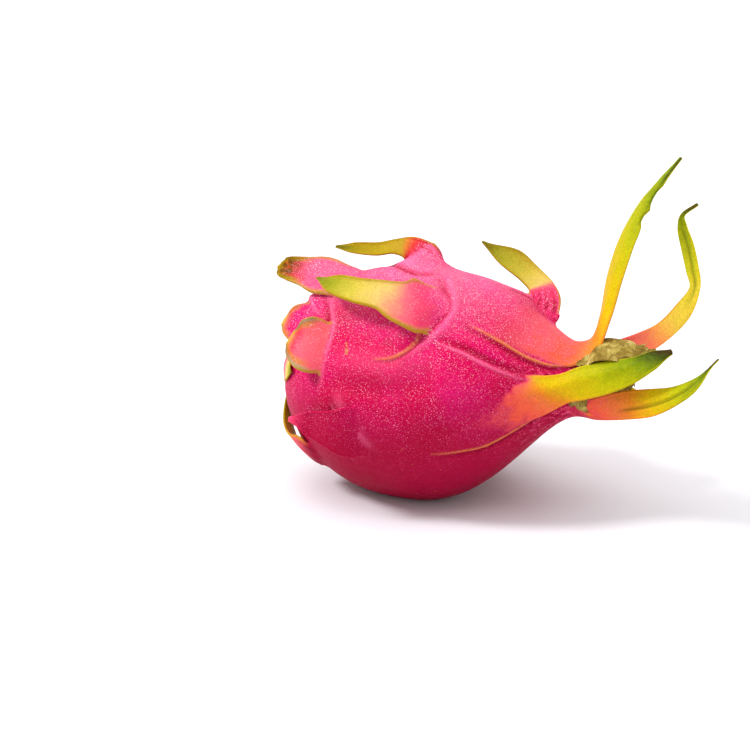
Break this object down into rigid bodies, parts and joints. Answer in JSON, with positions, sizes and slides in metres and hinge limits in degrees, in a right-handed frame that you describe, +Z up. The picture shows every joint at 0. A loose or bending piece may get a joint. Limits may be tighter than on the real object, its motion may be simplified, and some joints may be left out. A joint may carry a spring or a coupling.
{
  "type": "dragon fruit",
  "caption": "Whole pink dragon fruit lying on its side, with curled green-tipped scales, long crown bracts and a dried flower remnant.",
  "frame": {"origin": "middle of the small flat spot on which the fruit rests", "axes": "+X from the stem end to the crown, +Z up, -Y is the side that faces the viewer"},
  "size_m": [0.2001, 0.1154, 0.1472],
  "materials": {
    "fruit_skin": "satin",
    "dried_petals": "matte"
  },
  "bodies": {
    "root": {"dragon_fruit": "fruit_skin", "dried_flower": "dried_petals"}
  },
  "joints": []
}
